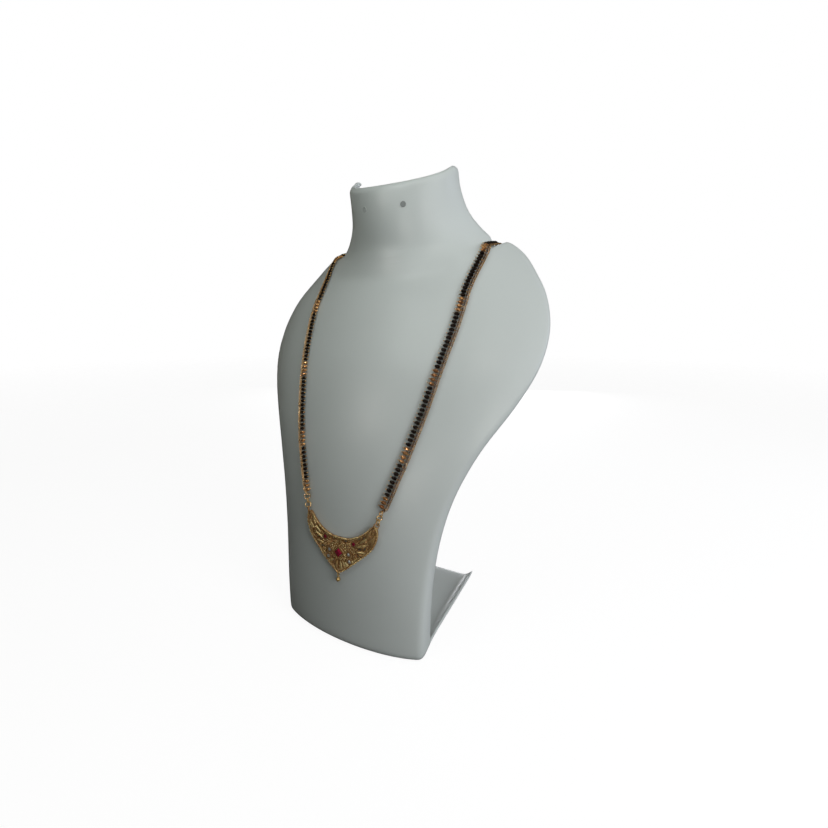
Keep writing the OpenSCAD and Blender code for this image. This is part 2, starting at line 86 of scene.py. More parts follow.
class ChainLook(bpy.types.PropertyGroup):
    """The double line of links and its pins"""

    colour: FloatVectorProperty(
        name="Gold", description="Colour of the polished gold", subtype="COLOR",
        default=(0.86, 0.58, 0.24), min=0, max=1)
    # The brown of the links next to the beads is painted shade.
    brown: FloatVectorProperty(
        name="Brown", description="Colour of the links next to the beads", subtype="COLOR",
        default=(0.13, 0.05, 0.018), min=0, max=1)
    # The pale of the outer links is a painted highlight.
    pale: FloatVectorProperty(
        name="Pale", description="Colour of the links on the outer side", subtype="COLOR",
        default=(1.0, 0.66, 0.31), min=0, max=1)
    wire: FloatProperty(
        name="Wire", description="Thickness of a link's wire", unit="LENGTH",
        default=0.34 * MM, min=0.2 * MM, max=0.5 * MM)
    link_length: FloatProperty(
        name="Link length", description="Outside length of a link", unit="LENGTH",
        default=1.72 * MM, min=1 * MM, max=3 * MM)
    link_width: FloatProperty(
        name="Link width", description="Outside width of a link", unit="LENGTH",
        default=1.25 * MM, min=0.8 * MM, max=1.6 * MM)
    rows_apart: FloatProperty(
        name="Rows apart", description="Distance between the two lines of links", unit="LENGTH",
        default=1.18 * MM, min=0.8 * MM, max=2 * MM)


class BeadLook(bpy.types.PropertyGroup):
    """The beads on their pins"""

    black: FloatVectorProperty(
        name="Black glass", description="Colour of the black beads", subtype="COLOR",
        default=(0.006, 0.004, 0.003), min=0, max=1)
    copper: FloatVectorProperty(
        name="Copper gold", description="Colour of the gold beads", subtype="COLOR",
        default=(0.54, 0.22, 0.08), min=0, max=1)
    segments: IntProperty(
        name="Segments", description="Faces round a black bead", default=16, min=8, max=24)
    facets: IntProperty(
        name="Facets", description="Cut faces round a gold bead", default=10, min=6, max=16)


class PendantLook(bpy.types.PropertyGroup):
    """The pendant, its stones and its rings"""

    colour: FloatVectorProperty(
        name="Antique gold", description="Colour of the pendant's raised metal", subtype="COLOR",
        default=(0.88, 0.47, 0.18), min=0, max=1)
    bright: FloatVectorProperty(
        name="Bright gold", description="Colour of the brightest grains", subtype="COLOR",
        default=(1.0, 0.78, 0.36), min=0, max=1)
    patina: FloatVectorProperty(
        name="Patina", description="Colour in the hollows of the pendant", subtype="COLOR",
        default=(0.10, 0.04, 0.015), min=0, max=1)
    ruby: FloatVectorProperty(
        name="Ruby", description="Colour of the red stones", subtype="COLOR",
        default=(0.28, 0.002, 0.03), min=0, max=1)
    grain: FloatProperty(
        name="Grain", description="Diameter of the grains along the edge", unit="LENGTH",
        default=1.3 * MM, min=0.4 * MM, max=1.6 * MM)


class StageLook(bpy.types.PropertyGroup):
    """Floor, light and camera"""

    azimuth: FloatProperty(
        name="Azimuth", description="Direction that the camera stands in, from the front",
        subtype="ANGLE", default=math.radians(27.03))
    pitch: FloatProperty(
        name="Pitch", description="How far the camera looks down", subtype="ANGLE",
        default=math.radians(13.05))
    place: FloatVectorProperty(
        name="Camera", description="Place of the camera", subtype="TRANSLATION",
        default=(0.1451, -0.2366, 0.2070))
    lens: FloatProperty(
        name="Lens", description="Focal length in units of the frame's width", default=0.49734)
    key: FloatProperty(
        name="Key light", description="Power of the light from the right", unit="POWER",
        default=5.0, min=0)
    top: FloatProperty(
        name="Top light", description="Power of the light from above", unit="POWER",
        default=0.5, min=0)
    fill: FloatProperty(
        name="Fill light", description="Power of the small light before the neck", unit="POWER",
        default=0.24, min=0)
    rim: FloatProperty(
        name="Rim light", description="Power of the light from behind on the right", unit="POWER",
        default=0.9, min=0)
    back: FloatProperty(
        name="Back light", description="Power of the light behind the bust", unit="POWER",
        default=3.2, min=0)
    sparkle: FloatProperty(
        name="Sparkle lights", description="Power of each small lamp that glints on metal",
        unit="POWER", default=0.5, min=0)


LOOKS = {
    "bust_look": BustLook,
    "chain_look": ChainLook,
    "bead_look": BeadLook,
    "pendant_look": PendantLook,
    "stage_look": StageLook,
}


# Handling objects


def take_up(*objects):
    """Leaves only these objects selected, the last one active, in object mode."""
    if bpy.context.object and bpy.context.object.mode != "OBJECT":
        bpy.ops.object.mode_set(mode="OBJECT")
    bpy.ops.object.select_all(action="DESELECT")
    for thing in objects:
        thing.select_set(True)
        bpy.context.view_layer.objects.active = thing


def scrap(*models):
    """Removes models that only served to be copied."""
    for model in models:
        bpy.data.objects.remove(model)


def picked(condition, kind="FACE"):
    """In edit mode, selects what the condition holds for, by its middle or place."""
    bpy.ops.mesh.select_all(action="DESELECT")
    bpy.ops.mesh.select_mode(type=kind)
    bpy.ops.object.mode_set(mode="OBJECT")
    mesh = bpy.context.object.data
    parts = mesh.polygons if kind == "FACE" else mesh.vertices
    for part in parts:
        part.select = condition(part)
    bpy.ops.object.mode_set(mode="EDIT")


def cut_off(height, way):
    """In edit mode, cuts the mesh off level at a height, above (1) or below (-1), and closes it."""
    bpy.ops.mesh.select_all(action="SELECT")
    bpy.ops.mesh.bisect(
        plane_co=(0, 0, height), plane_no=(0, 0, way), use_fill=True, clear_outer=True)


def merged_copy(node, name):
    """A copy of a node of the frame with its loose triangles joined."""
    piece = bpy.data.objects.new(name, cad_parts[node].data.copy())
    bpy.context.scene.collection.objects.link(piece)
    piece.data.name = name
    piece.data.materials.clear()
    take_up(piece)
    bpy.ops.mesh.customdata_custom_splitnormals_clear()
    bpy.ops.object.mode_set(mode="EDIT")
    bpy.ops.mesh.select_all(action="SELECT")
    bpy.ops.mesh.remove_doubles(threshold=WELD)
    bpy.ops.object.mode_set(mode="OBJECT")
    return piece


def corners_of(thing):
    """The corners of an object's mesh, as the rows of an array."""
    return np.array([v.co[:] for v in thing.data.vertices])


def carry_tint(mesh, tints):
    """Writes a number on every corner of a mesh, for its material to read."""
    tint = mesh.attributes.new("tint", "FLOAT", "POINT")
    tint.data.foreach_set("value", np.array(tints, dtype=np.float32))


def drawn_tints(rng, shine, places):
    """A tint for each place, drawn evenly about a middle value by a spread."""
    middle, spread = shine
    return [middle + rng.uniform(-spread, spread) for _ in places]


def set_out(model, places, name, tints):
    """One mesh with a copy of a small model at each place, each copy with its tint."""
    corners = corners_of(model)
    turns = np.array([[row[:] for row in place] for place in places])
    moved = np.einsum("kij,nj->kni", turns[:, :3, :3], corners) + turns[:, None, :3, 3]
    faces = [
        [i + n * len(corners) for i in face.vertices]
        for n in range(len(places))
        for face in model.data.polygons
    ]
    mesh = bpy.data.meshes.new(name)
    mesh.from_pydata(moved.reshape(-1, 3).tolist(), [], faces)
    smooth = [face.use_smooth for face in model.data.polygons]
    mesh.polygons.foreach_set("use_smooth", smooth * len(places))
    carry_tint(mesh, np.repeat(tints, len(corners)))
    piece = bpy.data.objects.new(name, mesh)
    bpy.context.scene.collection.objects.link(piece)
    return piece


def joined(pieces, name):
    """Several objects made one."""
    take_up(*pieces)
    bpy.ops.object.join()
    piece = bpy.context.object
    piece.name = piece.data.name = name
    return piece


def seated(piece, name, slot, material, *nodes):
    """Gives a finished piece its name, finish and place in the frame."""
    take_up(piece)
    bpy.ops.object.transform_apply(location=True, rotation=True, scale=True)
    piece.name = piece.data.name = name
    piece.data.materials.clear()
    piece.data.materials.append(material)
    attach(piece, "root")
    if nodes:
        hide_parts(*nodes)
    return piece


# Reading the frame


def box_middle(node):
    """The middle of the box round a node."""
    low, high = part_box(node)
    return np.array((low + high) / 2)


def solids(node):
    """The corners of each loose solid of a node, in metres."""
    places = corners_of(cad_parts[node])
    rounded = np.round(places / WELD).astype(np.int64)
    same = np.unique(rounded, axis=0, return_inverse=True)[1].ravel()
    head = list(range(same.max() + 1))

    def root(i):
        while head[i] != i:
            head[i] = head[head[i]]
            i = head[i]
        return i

    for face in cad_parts[node].data.polygons:
        first = root(same[face.vertices[0]])
        for corner in face.vertices[1:]:
            head[root(same[corner])] = first
    groups = {}
    for corner, point in zip(same, places):
        groups.setdefault(root(corner), {})[corner] = point
    return [np.array(list(group.values())) for group in groups.values()]


def middle_and_axes(points):
    """Middle of a cloud of corners and its axes, the one it spreads along least first."""
    middle = points.mean(0)
    _, axes = np.linalg.eigh(np.cov((points - middle).T))
    return middle, axes.T


def lengths_along(line):
    """How far each of a line's corners is from its start, along the line."""
    return np.concatenate(([0], np.cumsum(np.linalg.norm(np.diff(line, axis=0), axis=1))))


def frame_at(place, x, z):
    """A matrix at a place with its X and Z axes along two directions."""
    x, z = Vector(x).normalized(), Vector(z)
    z = (z - z.dot(x) * x).normalized()
    turn = Matrix((x, z.cross(x), z)).transposed().to_4x4()
    return Matrix.Translation(Vector(place)) @ turn


# How far round a bead its own stretch of the gold chain is looked for.
CHAIN_REACH = 4.5 * MM


class Strand:
    """One side of the necklace: its beads in order, and the line that they follow."""

    def __init__(self, side):
        self.side = side
        found = []
        for node, golden in ((f"black_beads_{side}", False), (f"gold_beads_{side}", True)):
            for corners in solids(node):
                middle, axes = middle_and_axes(corners)
                found.append((middle, axes[2], golden))
        chain = corners_of(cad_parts[f"gold_chain_{side}"])
        here = box_middle(f"strand_ring_{side}")
        self.middles, self.axes, self.golden = [], [], []
        while found:
            found.sort(key=lambda bead: np.linalg.norm(bead[0] - here))
            here, axis, golden = found.pop(0)
            near = chain[np.linalg.norm(chain - here, axis=1) < CHAIN_REACH] - here
            outward = axis * np.sign((near @ axis).mean())
            self.middles.append(here)
            self.axes.append(outward)
            self.golden.append(golden)
        self.middles, self.axes = np.array(self.middles), np.array(self.axes)
        self.inner_x = np.abs(chain[:, 0]).min()
        self.hand = 1 if side == "right" else -1
        self.count = len(self.middles)

    def follow(self, rows, t):
        """A smooth curve through the rows, straight on past either end."""
        last = len(rows) - 1
        i = int(min(max(math.floor(t), 0), last - 1))
        if t < 0 or t > last:
            return rows[i] + (t - i) * (rows[i + 1] - rows[i])
        a, b, c, d = (rows[j] for j in (max(i - 1, 0), i, i + 1, min(i + 2, last)))
        f = t - i
        return b + f / 2 * (c - a + f * (2 * a - 5 * b + 4 * c - d + f * (3 * b - a - 3 * c + d)))

    def place(self, t, out=0.0):
        """A place beside the beads, with the way along the strand, outwards and off the bust."""
        outward = self.follow(self.axes, t)
        outward /= np.linalg.norm(outward)
        way = self.follow(self.middles, t + 0.15) - self.follow(self.middles, t - 0.15)
        way -= (way @ outward) * outward
        way /= np.linalg.norm(way)
        off = self.hand * np.cross(outward, way)
        return self.follow(self.middles, t) + out * outward, way, outward, off

    def evenly(self, start, end, out, pitch):
        """Places a pitch apart along the line that lies so far outwards of the beads."""
        steps = np.linspace(start, end, 40 * self.count)
        line = np.array([self.place(t, out(t))[0] for t in steps])
        lengths = lengths_along(line)
        count = round(lengths[-1] / pitch)
        return np.interp(np.linspace(0, lengths[-1], count + 1), lengths, steps)


# Finishes


# The golden end of the gold beads, the softer end of the black ones, and the white stones, tinted
# warm as a painted reflection of the gold round them.
GOLDEN = (0.84, 0.46, 0.18)
SOFT_BLACK = (0.014, 0.008, 0.005)
CLEAR_WHITE = (0.94, 0.85, 0.72)


def set_sockets(node, **values):
    """Sets sockets, named with underscores for spaces, to constants or to what other nodes give."""
    for label, value in values.items():
        socket = node.inputs[label.replace("_", " ")]
        if isinstance(value, bpy.types.NodeSocket):
            node.id_data.links.new(value, socket)
        else:
            socket.default_value = value


def add_node(nodes, kind, **values):
    """A new shader node of a kind, with some of its sockets set or linked."""
    node = nodes.new(f"ShaderNode{kind}")
    set_sockets(node, **values)
    return node


def add_blend(nodes, mask, first, second):
    """A colour that goes from the first to the second with a mask; each is a colour or a socket."""
    mix = nodes.new("ShaderNodeMix")
    mix.data_type = "RGBA"
    set_sockets(mix, Factor=mask)
    # A Mix node keeps its two colours in these sockets, and their blend in the third output.
    for socket, colour in ((mix.inputs[6], first), (mix.inputs[7], second)):
        if isinstance(colour, bpy.types.NodeSocket):
            mix.id_data.links.new(colour, socket)
        else:
            socket.default_value = (*colour, 1)
    return mix.outputs[2]


def unevenness():
    """The group that varies a surface: a slow mask, a fine mask and a height for a bump."""
    if "unevenness" in bpy.data.node_groups:
        return bpy.data.node_groups["unevenness"]
    group = bpy.data.node_groups.new("unevenness", "ShaderNodeTree")
    for way, labels in (("INPUT", ("Slow", "Fine")),
                        ("OUTPUT", ("Slow mask", "Fine mask", "Height"))):
        for label in labels:
            group.interface.new_socket(name=label, in_out=way, socket_type="NodeSocketFloat")
    nodes = group.nodes
    given, out = nodes.new("NodeGroupInput"), nodes.new("NodeGroupOutput")
    place = add_node(nodes, "TexCoord").outputs["Object"]
    masks = {}
    for label, detail in (("Slow", 3.0), ("Fine", 5.0)):
        noise = add_node(
            nodes, "TexNoise", Vector=place, Scale=given.outputs[label], Detail=detail)
        clear = add_node(
            nodes, "MapRange", Value=noise.outputs["Fac"], From_Min=0.3, From_Max=0.7)
        masks[label] = clear.outputs["Result"]
    height = add_node(nodes, "Math")
    height.operation = "MULTIPLY_ADD"
    # The slow swells are three times as high as the fine dents.
    height.inputs[1].default_value = 3.0
    group.links.new(masks["Slow"], height.inputs[0])
    group.links.new(masks["Fine"], height.inputs[2])
    set_sockets(
        out, Slow_mask=masks["Slow"], Fine_mask=masks["Fine"], Height=height.outputs[0])
    return group


class Finish:
    """A material under construction: its nodes, its shader and its unevenness."""

    def __init__(self, name, colour, roughness, slow, fine, metallic=0.0):
        self.material = bpy.data.materials.new(name)
        self.material.use_nodes = True
        self.material.diffuse_color = (*colour, 1)
        self.nodes = self.material.node_tree.nodes
        self.shader = self.nodes["Principled BSDF"]
        set_sockets(
            self.shader, Base_Color=(*colour, 1), Roughness=roughness, Metallic=metallic)
        self.uneven = self.nodes.new("ShaderNodeGroup")
        self.uneven.node_tree = unevenness()
        set_sockets(self.uneven, Slow=slow, Fine=fine)

    def mask(self, kind):
        """The slow or the fine mask, the tint that each small copy carries, or a socket itself."""
        if kind in ("Slow", "Fine"):
            return self.uneven.outputs[f"{kind} mask"]
        if kind != "tint":
            return kind
        carried = self.nodes.new("ShaderNodeAttribute")
        carried.attribute_name = "tint"
        return carried.outputs["Fac"]

    def coloured(self, mask, first, second):
        """The surface's colour, from the first to the second with a mask."""
        colour = add_blend(self.nodes, self.mask(mask), first, second)
        set_sockets(self.shader, Base_Color=colour)

    def roughened(self, mask, low, high):
        """The surface's roughness, between two values with a mask."""
        span = add_node(
            self.nodes, "MapRange", Value=self.mask(mask), To_Min=low, To_Max=high)
        set_sockets(self.shader, Roughness=span.outputs["Result"])

    def bumped(self, strength, distance):
        """Fine dents of a given depth over the whole surface."""
        height = self.uneven.outputs["Height"]
        bump = add_node(
            self.nodes, "Bump", Height=height, Strength=strength, Distance=distance)
        set_sockets(self.shader, Normal=bump.outputs["Normal"])


def shade(colour, factor):
    """A colour made lighter or darker."""
    return tuple(min(1.0, c * factor) for c in colour)


def moulded_plastic(look):
    """Glossy white sheet, slightly uneven from the mould."""
    finish = Finish("moulded_plastic", look.colour, look.roughness, 9.0, 240.0)
    finish.coloured("Slow", shade(look.colour, 0.97), shade(look.colour, 1.03))
    finish.roughened("Fine", look.roughness - 0.03, look.roughness + 0.05)
    finish.bumped(0.12, 0.12 * MM)
    return finish.material


def mark_grey(look):
    """Dull grey of the two round marks on the neck, from pale to dark with the tint of each; the
    difference between the two marks is painted light and shade.
    """
    finish = Finish("mark_grey", shade(look.colour, 0.42), 0.55, 300.0, 3000.0)
    finish.coloured("tint", shade(look.colour, 0.85), shade(look.colour, 0.42))
    finish.roughened("Fine", 0.45, 0.65)
    finish.bumped(0.2, 0.05 * MM)
    return finish.material


def polished_gold(look):
    """Bright gold of the rings, the drop and the clasp."""
    finish = Finish("polished_gold", look.colour, 0.22, 240.0, 4000.0, 0.9)
    finish.coloured("Slow", shade(look.colour, 0.8), shade(look.colour, 1.1))
    finish.roughened("Fine", 0.16, 0.32)
    finish.bumped(0.08, 0.02 * MM)
    return finish.material


def link_gold(look):
    """Gold of the links and pins, from brown to pale with the tint of each: brown as painted shade,
    pale as a painted highlight.
    """
    finish = Finish("link_gold", look.brown, 0.26, 240.0, 4000.0, 0.85)
    finish.coloured("tint", look.brown, look.pale)
    finish.roughened("Slow", 0.2, 0.36)
    finish.bumped(0.08, 0.02 * MM)
    return finish.material


def copper_gold(look):
    """Gold of the cut beads, from copper to golden with the tint of each."""
    finish = Finish("copper_gold", look.copper, 0.2, 400.0, 4000.0, 0.75)
    finish.coloured("tint", shade(look.copper, 0.6), GOLDEN)
    finish.roughened("Slow", 0.14, 0.3)
    finish.bumped(0.1, 0.03 * MM)
    return finish.material


def black_glass(look):
    """Glossy black glass of the beads."""
    finish = Finish("black_glass", look.black, 0.12, 300.0, 3000.0)
    finish.coloured("tint", shade(look.black, 0.5), SOFT_BLACK)
    finish.roughened("Slow", 0.08, 0.2)
    finish.bumped(0.05, 0.02 * MM)
    set_sockets(
        finish.shader, IOR=1.4, Specular_IOR_Level=0.25, Specular_Tint=(1.0, 0.78, 0.6, 1.0))
    return finish.material


def antique_gold(name, look, dull, bright):
    """Worn gold of the pendant between two tones, brown where it lies deep."""
    finish = Finish(name, bright, 0.28, 420.0, 3000.0, 0.6)
    hollow = add_node(finish.nodes, "AmbientOcclusion", Distance=0.7 * MM)
    hollow.samples = 8
    span = add_node(
        finish.nodes, "MapRange", Value=hollow.outputs["AO"], From_Min=0.3, From_Max=0.8)
    open_air = span.outputs["Result"]
    worn = add_blend(finish.nodes, finish.mask("tint"), dull, bright)
    finish.coloured(open_air, look.patina, worn)
    finish.roughened(open_air, 0.6, 0.24)
    finish.bumped(0.18, 0.03 * MM)
    return finish.material


def cut_stone(name, colour, index, clear):
    """A faceted stone, partly see-through."""
    finish = Finish(name, colour, 0.04, 500.0, 3000.0)
    finish.coloured("Slow", shade(colour, 0.75), shade(colour, 1.25))
    finish.roughened("Fine", 0.02, 0.06)
    set_sockets(finish.shader, IOR=index, Transmission_Weight=clear)
    return finish.material


# The bust

# Where the two round marks lie on the neck, a place before it to look from, and how dark each is;
# the marks are alike, and the left one is painted paler and the right one darker as painted light
# and shade.
MARK_X = 14.2 * MM
MARK_Z = 275.4 * MM
BEFORE_NECK = -0.3
MARK_TINTS = (0.2, 1.0)


def mark_model(radius):
    """A thin round disc that faces along Z, a little lower in its middle."""
    bpy.ops.mesh.primitive_cylinder_add(
        vertices=32, radius=radius, depth=0.5 * MM, end_fill_type="NGON")
    disc = bpy.context.object
    bpy.ops.object.mode_set(mode="EDIT")
    picked(lambda face: face.normal.z > 0.9)
    for width in (0.16, 0.24):
        bpy.ops.mesh.inset(thickness=width * radius, depth=-0.04 * radius)
    bpy.ops.object.mode_set(mode="OBJECT")
    bpy.ops.object.shade_smooth_by_angle(angle=math.radians(30))
    return disc


class MANGALSUTRA_OT_neck_bust(bpy.types.Operator):
    """Smooth the moulded sheet and set the two round marks on its neck"""

    bl_idname = "mangalsutra.neck_bust"
    bl_label = "Neck Bust"

    def execute(self, context):
        look = context.scene.bust_look
        plastic = moulded_plastic(look)
        sheet = merged_copy("neck_bust", "neck_bust_moulded")
        bpy.ops.object.mode_set(mode="EDIT")
        bpy.ops.mesh.select_all(action="SELECT")
        bpy.ops.mesh.tris_convert_to_quads(face_threshold=math.pi, shape_threshold=math.pi)
        bpy.ops.object.mode_set(mode="OBJECT")
        bpy.ops.object.shade_smooth()
        smooth = sheet.modifiers.new("smooth", "SUBSURF")
        smooth.levels = smooth.render_levels = look.smoothing
        bpy.ops.object.modifier_apply(modifier=smooth.name)
        seated(sheet, "neck_bust_moulded", "white_plastic", plastic, "neck_bust")
        mark = mark_model(look.mark_radius)
        places = []
        for x in (-MARK_X, MARK_X):
            start = Vector((x, BEFORE_NECK, MARK_Z))
            hit, place, out, _ = sheet.ray_cast(start, Vector((0, 1, 0)))
            if not hit:
                raise RuntimeError("no sheet behind a mark on the neck")
            places.append(frame_at(place, Vector((0, 0, 1)).cross(out), out))
        marks = set_out(mark, places, "neck_marks", MARK_TINTS)
        seated(marks, "neck_marks", "white_plastic", mark_grey(look))
        scrap(mark)
        return {"FINISHED"}


# The strands

BEAD_RADIUS = 1.1 * MM
BEAD_HALF = 1.6 * MM
# The pin of a bead, outwards from the bead's middle: its round head, and its end in the links.
PIN_HEAD = -2.35 * MM
PIN_END = 3.5 * MM
PIN_HEAD_RADIUS = 0.34 * MM
PIN_RADIUS = 0.2 * MM
# The two lines of links lie this far outwards of the beads. Past the last bead they are drawn in
# and together, over this length, to this place and this share of their distance.
LINKS_OUT = 3.05 * MM
END_LENGTH = 2.9 * MM
END_OUT = 1.25 * MM
END_SHARE = 0.35
# Each link reaches into the next by so many thicknesses of wire.
HOOKED = 2.15
# The middle value and the spread of the tints: links from brown at 0 to pale at 1, and beads from
# dark copper or deepest black at 0 to golden or softer black at 1. Both sides are the same gold:
# the right strand, on the near side, is given low tints as painted shade and the left strand high
# ones as painted light, and the outer row of links is paler than the inner as a painted highlight.
OUTER_SHINE = {"left": (0.85, 0.15), "right": (0.5, 0.25)}
INNER_SHINE = {"left": (0.6, 0.25), "right": (0.06, 0.06)}
BEAD_SHINE = {"left": (0.72, 0.28), "right": (0.3, 0.3)}
PIN_SHINE = (0.9, 0.1)
LOOP_SHINE = 0.7


def link_model(look):
    """An oval link with its length along X, lying in the XY plane."""
    across = (look.link_width - look.wire) / 2
    bpy.ops.mesh.primitive_torus_add(
        major_segments=12, minor_segments=6, major_radius=across, minor_radius=look.wire / 2)
    link = bpy.context.object
    bpy.ops.object.mode_set(mode="EDIT")
    for way in (-1, 1):
        picked(lambda v, way=way: v.co.x * way > 0.01 * across, "VERT")
        bpy.ops.transform.translate(value=(way * (look.link_length - look.link_width) / 2, 0, 0))
    bpy.ops.object.mode_set(mode="OBJECT")
    bpy.ops.object.shade_smooth()
    return link


def bead_model(segments, rings, smooth):
    """A barrel-shaped bead along Z with a drilled dimple at either end."""
    bpy.ops.mesh.primitive_uv_sphere_add(segments=segments, ring_count=rings, radius=1)
    bead = bpy.context.object
    # The ball is longer than the bead, and is cut off flat at either end.
    bead.scale = (BEAD_RADIUS, BEAD_RADIUS, BEAD_HALF / math.sin(math.radians(60)))
    bpy.ops.object.transform_apply(scale=True)
    bpy.ops.object.mode_set(mode="EDIT")
    for end in (-1, 1):
        cut_off(end * BEAD_HALF, end)
        picked(lambda face, end=end: face.normal.z * end > 0.99
               and abs(face.center.z) > 0.95 * BEAD_HALF)
        bpy.ops.mesh.inset(thickness=0.28 * BEAD_RADIUS, depth=-0.3 * BEAD_RADIUS)
    bpy.ops.object.mode_set(mode="OBJECT")
    if smooth:
        bpy.ops.object.shade_smooth()
    return bead


def pin_model():
    """A pin along X from a round head past the bead to the outer line of links."""
    bpy.ops.mesh.primitive_uv_sphere_add(
        segments=8, ring_count=6, radius=PIN_HEAD_RADIUS, location=(PIN_HEAD, 0, 0))
    ball = bpy.context.object
    bpy.ops.mesh.primitive_cylinder_add(
        vertices=8, radius=PIN_RADIUS, depth=PIN_END - PIN_HEAD,
        location=((PIN_HEAD + PIN_END) / 2, 0, 0), rotation=(0, math.pi / 2, 0),
        end_fill_type="NGON")
    shaft = bpy.context.object
    pin = joined([ball, shaft], "pin")
    bpy.ops.object.transform_apply(location=True, rotation=True, scale=True)
    bpy.ops.object.shade_smooth_by_angle(angle=math.radians(50))
    return pin


class MANGALSUTRA_OT_strands(bpy.types.Operator):
    """Lay two lines of links up each side, with a pin and a bead at every step"""

    bl_idname = "mangalsutra.strands"
    bl_label = "Strands"

    def execute(self, context):
        look, bead_look = context.scene.chain_look, context.scene.bead_look
        gold = link_gold(look)
        black = black_glass(bead_look)
        copper = copper_gold(bead_look)
        link = link_model(look)
        pin = pin_model()
        round_bead = bead_model(bead_look.segments, 12, True)
        cut_bead = bead_model(bead_look.facets, 8, False)
        for side in SIDES:
            strand = Strand(side)
            rng = random.Random(f"strand {side}")
            metal = [self.links_of(strand, link, look, row, rng) for row in (-0.5, 0.5)]
            pins = []
            for t in range(strand.count):
                place, _, outward, off = strand.place(t)
                pins.append(frame_at(place, outward, off))
            metal.append(set_out(pin, pins, "pins", drawn_tints(rng, PIN_SHINE, pins)))
            metal.append(self.end_loops(side, strand))
            chain = joined(metal, f"link_chain_{side}")
            seated(chain, f"link_chain_{side}", "gold", gold, f"gold_chain_{side}")
            for golden, model, material, slot, name in (
                (False, round_bead, black, "black_glass", "black_bead"),
                (True, cut_bead, copper, "gold", "gold_bead"),
            ):
                places = self.bead_places(strand, golden, rng)
                # The beads on the right are drawn darker as painted shade, and those on the left
                # lighter as painted light.
                tints = drawn_tints(rng, BEAD_SHINE[side], places)
                row = set_out(model, places, f"{name}_row_{side}", tints)
                seated(row, f"{name}_row_{side}", slot, material, f"{name}s_{side}")
        scrap(link, pin, round_bead, cut_bead)
        return {"FINISHED"}

    def bead_places(self, strand, golden, rng):
        """A place for each black or each gold bead, no two quite alike in size and turn."""
        places = []
        for t in range(strand.count):
            if strand.golden[t] == golden:
                place, _, outward, off = strand.place(t)
                size = Matrix.Scale(rng.uniform(0.96, 1.0), 4)
                turn = Matrix.Rotation(rng.uniform(0, 6.3), 4, "Z")
                places.append(frame_at(place, off, outward) @ turn @ size)
        return places

    def links_of(self, strand, link, look, row, rng):
        """One of the two lines, every link a quarter turn from the one before."""
        last = strand.count - 1
        spacing = np.linalg.norm(np.diff(strand.middles, axis=0), axis=1).mean()
        ends = END_LENGTH / spacing

        def out(t):
            in_from_end = min(t + ends, last + ends - t) / ends
            full = min(max(in_from_end, 0.0), 1.0)
            apart = look.rows_apart * (END_SHARE + (1 - END_SHARE) * full)
            return LINKS_OUT * full + END_OUT * (1 - full) + row * apart

        pitch = look.link_length - HOOKED * look.wire
        places = []
        for n, t in enumerate(strand.evenly(-ends + 0.05, last + ends - 0.05, out, pitch)):
            place, way, outward, off = strand.place(t, out(t))
            tilt = math.radians(45 if n % 2 else -45)
            places.append(frame_at(place, way, math.cos(tilt) * off + math.sin(tilt) * outward))
        # The outer row is paler as a painted highlight and the inner row browner as painted shade,
        # and each side has its own painted light and shade.
        shine = OUTER_SHINE if row > 0 else INNER_SHINE
        return set_out(link, places, "links", drawn_tints(rng, shine[strand.side], places))

    def end_loops(self, side, strand):
        """The round loops that hang in the strand ring and in the clasp."""
        ring, _, radius, wire = ring_of(f"strand_ring_{side}")
        inner, axis, _, _ = ring_of(f"pendant_ring_{side}")
        clasp_end = box_middle("clasp")
        clasp_end[0] = strand.hand * (strand.inner_x + wire)
        loops = [
            ring_model(ring + (ring - inner), axis, radius, wire),
            ring_model(clasp_end, (0, 0, 1), radius, wire),
        ]
        for loop in loops:
            carry_tint(loop.data, [LOOP_SHINE] * len(loop.data.vertices))
        return joined(loops, "end_loops")


# Rings, drop and clasp


def ring_of(node):
    """Middle, axis, radius of the middle line and wire radius of a ring in the frame."""
    middle, axes = middle_and_axes(np.concatenate(solids(node)))
    corners = np.concatenate(solids(node)) - middle
    flat = corners - np.outer(corners @ axes[0], axes[0])
    reach = np.linalg.norm(flat, axis=1)
    return middle, axes[0], (reach.max() + reach.min()) / 2, (reach.max() - reach.min()) / 2


def ring_model(middle, axis, radius, wire):
    """A round ring of wire about an axis."""
    turn = Vector((0, 0, 1)).rotation_difference(Vector(axis))
    bpy.ops.mesh.primitive_torus_add(
        major_segments=40, minor_segments=12, major_radius=radius, minor_radius=wire)
    ring = bpy.context.object
    ring.matrix_world = Matrix.Translation(Vector(middle)) @ turn.to_matrix().to_4x4()
    take_up(ring)
    bpy.ops.object.transform_apply(location=True, rotation=True, scale=True)
    bpy.ops.object.shade_smooth()
    return ring


class MANGALSUTRA_OT_rings(bpy.types.Operator):
    """Draw the jump rings, the small drop and the clasp as round wire and turned metal"""

    bl_idname = "mangalsutra.rings"
    bl_label = "Rings, Drop and Clasp"

    def execute(self, context):
        gold = polished_gold(context.scene.chain_look)
        for node in ("pendant_ring_left", "pendant_ring_right", "strand_ring_left",
                     "strand_ring_right", "drop_ring"):
            piece = ring_model(*ring_of(node))
            seated(piece, f"round_{node}", "gold", gold, node)
        for node in ("drop_bead", "clasp"):
            piece = merged_copy(node, f"turned_{node}")
            bpy.ops.object.shade_smooth_by_angle(angle=math.radians(35))
            seated(piece, f"turned_{node}", "gold", gold, node)
        return {"FINISHED"}


# The pendant


# Middle of the ruby's seat, the plate's bend and thickness, and how far it leans back.
SEAT = Vector((0, -53.25 * MM, 66.5 * MM))
PLATE_BEND = 160 * MM
PLATE = 0.9 * MM
LEAN = math.radians(4.8)
